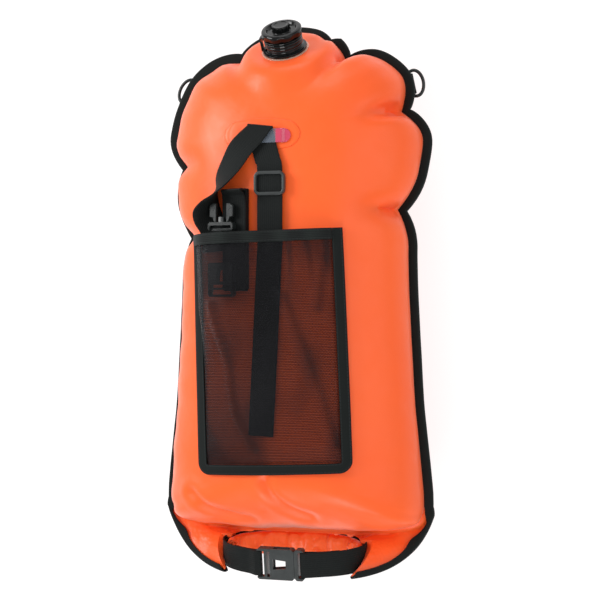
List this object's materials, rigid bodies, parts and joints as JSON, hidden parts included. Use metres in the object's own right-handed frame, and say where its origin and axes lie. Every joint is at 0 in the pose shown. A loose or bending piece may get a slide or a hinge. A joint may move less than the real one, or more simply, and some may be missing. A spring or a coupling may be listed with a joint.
{
  "type": "open water swim buoy",
  "caption": "Inflatable tow float with a roll-down dry bag mouth and side release buckle, screw valve, front mesh pocket, folded waist belt and leash with slider.",
  "frame": {"origin": "middle of the flat patch that the back rests on", "axes": "+Y along the buoy towards the valve end, +Z out of its front, +X to its right side seen from the front"},
  "size_m": [0.2796, 0.5506, 0.1808],
  "materials": {
    "front_skin": "coated, satin",
    "back_skin": "coated, satin",
    "dry_bag": "coated, matt",
    "mouth_neck": "coated, satin",
    "neck_gusset_right": "coated, satin",
    "neck_gusset_left": "coated, satin",
    "edge_binding": "fine weave, matt",
    "rolled_mouth": "coated, satin",
    "roll_stiffener": "matt",
    "closure_webbing": "ribbed weave",
    "closure_buckle_socket": "satin",
    "closure_buckle_base": "satin",
    "closure_prong_upper": "satin",
    "closure_prong_lower": "satin",
    "valve_weld_ring": "clear film",
    "valve_base": "glossy",
    "valve_gasket": "matt",
    "valve_plug": "glossy",
    "valve_flap": "matt",
    "cap_seal": "matt",
    "valve_cap": "glossy",
    "cap_tether": "glossy",
    "anchor_patch": "coated, satin",
    "anchor_window": "clear film",
    "leash_webbing": "ribbed weave",
    "leash_slider": "satin",
    "pocket_backing": "coated, matt",
    "pocket_mesh": "open mesh",
    "pocket_tape": "fine weave, matt",
    "pocket_hem": "elastic, fine weave",
    "belt_webbing": "ribbed weave",
    "belt_buckle_base": "satin",
    "belt_buckle_socket": "satin",
    "belt_prong_left": "satin",
    "belt_prong_right": "satin",
    "side_tab_right": "ribbed weave",
    "side_tab_left": "ribbed weave",
    "side_ring_right": "satin",
    "side_ring_left": "satin"
  },
  "bodies": {
    "chamber": {"front_skin": "front_skin", "back_skin": "back_skin", "dry_bag": "dry_bag", "mouth_neck": "mouth_neck", "neck_gusset_right": "neck_gusset_right", "neck_gusset_left": "neck_gusset_left", "edge_binding": "edge_binding", "rolled_mouth": "rolled_mouth", "roll_stiffener": "roll_stiffener", "closure_webbing": "closure_webbing", "closure_buckle_socket": "closure_buckle_socket", "closure_buckle_base": "closure_buckle_base", "valve_weld_ring": "valve_weld_ring", "valve_base": "valve_base", "anchor_patch": "anchor_patch", "anchor_window": "anchor_window", "leash_webbing": "leash_webbing", "pocket_backing": "pocket_backing", "pocket_mesh": "pocket_mesh", "pocket_tape": "pocket_tape", "pocket_hem": "pocket_hem", "belt_webbing": "belt_webbing", "belt_buckle_base": "belt_buckle_base", "belt_buckle_socket": "belt_buckle_socket", "side_tab_right": "side_tab_right", "side_tab_left": "side_tab_left"},
    "slider": {"leash_slider": "leash_slider"},
    "closure_upper_arm": {"closure_prong_upper": "closure_prong_upper"},
    "closure_lower_arm": {"closure_prong_lower": "closure_prong_lower"},
    "belt_left_arm": {"belt_prong_left": "belt_prong_left"},
    "belt_right_arm": {"belt_prong_right": "belt_prong_right"},
    "left_loop": {"side_ring_left": "side_ring_left"},
    "right_loop": {"side_ring_right": "side_ring_right"},
    "plug_lift": {"valve_gasket": "valve_gasket", "cap_tether": "cap_tether"},
    "plug": {"valve_plug": "valve_plug"},
    "flap": {"valve_flap": "valve_flap"},
    "cap_lift": {"cap_seal": "cap_seal"},
    "cap": {"valve_cap": "valve_cap"}
  },
  "joints": [
    {"name": "slider_slide", "type": "slide", "parent": "chamber", "child": "slider", "axis": [0, 1, 0], "range_m": [-0.025, 0.0005]},
    {"name": "closure_upper_squeeze", "type": "hinge", "parent": "chamber", "child": "closure_upper_arm", "pos_m": [0.012, -0.25166, 0.11826], "axis": [0, -0.1564, 0.9877], "range_deg": [0, 10], "stiffness_Nm_per_rad": 0.3},
    {"name": "closure_lower_squeeze", "type": "hinge", "parent": "chamber", "child": "closure_lower_arm", "pos_m": [0.012, -0.26707, 0.11582], "axis": [0, -0.1564, 0.9877], "range_deg": [-10, 0], "stiffness_Nm_per_rad": 0.3},
    {"name": "belt_right_squeeze", "type": "hinge", "parent": "chamber", "child": "belt_right_arm", "pos_m": [-0.04316, 0.07397, 0.15792], "axis": [-0.1411, -0.0019, 0.99], "range_deg": [0, 10], "stiffness_Nm_per_rad": 0.3},
    {"name": "belt_left_squeeze", "type": "hinge", "parent": "chamber", "child": "belt_left_arm", "pos_m": [-0.05644, 0.07397, 0.15602], "axis": [-0.1411, -0.0019, 0.99], "range_deg": [-10, 0], "stiffness_Nm_per_rad": 0.3},
    {"name": "left_loop_swing", "type": "hinge", "parent": "chamber", "child": "left_loop", "pos_m": [-0.11802, 0.21358, 0.06385], "axis": [-0.4825, -0.8759, 0], "range_deg": [0, 70]},
    {"name": "right_loop_swing", "type": "hinge", "parent": "chamber", "child": "right_loop", "pos_m": [0.11622, 0.2131, 0.06385], "axis": [-0.2111, 0.9775, 0], "range_deg": [0, 70]},
    {"name": "plug_rise", "type": "slide", "parent": "chamber", "child": "plug_lift", "axis": [0, 0.7986, 0.6018], "range_m": [0, 0.006]},
    {"name": "plug_turn", "type": "hinge", "parent": "plug_lift", "child": "plug", "pos_m": [0, 0.245, 0.1115], "axis": [0, 0.7986, 0.6018], "range_deg": [0, 720]},
    {"name": "flap_lift", "type": "slide", "parent": "plug", "child": "flap", "axis": [0, -0.7986, -0.6018], "range_m": [0, 0.002], "stiffness_N_per_m": 20},
    {"name": "cap_rise", "type": "slide", "parent": "plug", "child": "cap_lift", "axis": [0, 0.7986, 0.6018], "range_m": [0, 0.006]},
    {"name": "cap_turn", "type": "hinge", "parent": "cap_lift", "child": "cap", "pos_m": [0, 0.245, 0.1115], "axis": [0, 0.7986, 0.6018], "range_deg": [0, 720]}
  ],
  "couplings": [
    {"joint": "closure_lower_squeeze", "follows": "closure_upper_squeeze", "ratio": -1},
    {"joint": "belt_left_squeeze", "follows": "belt_right_squeeze", "ratio": -1},
    {"joint": "plug_rise", "follows": "plug_turn", "m_per_rad": 0.000477},
    {"joint": "cap_rise", "follows": "cap_turn", "m_per_rad": 0.000477}
  ]
}
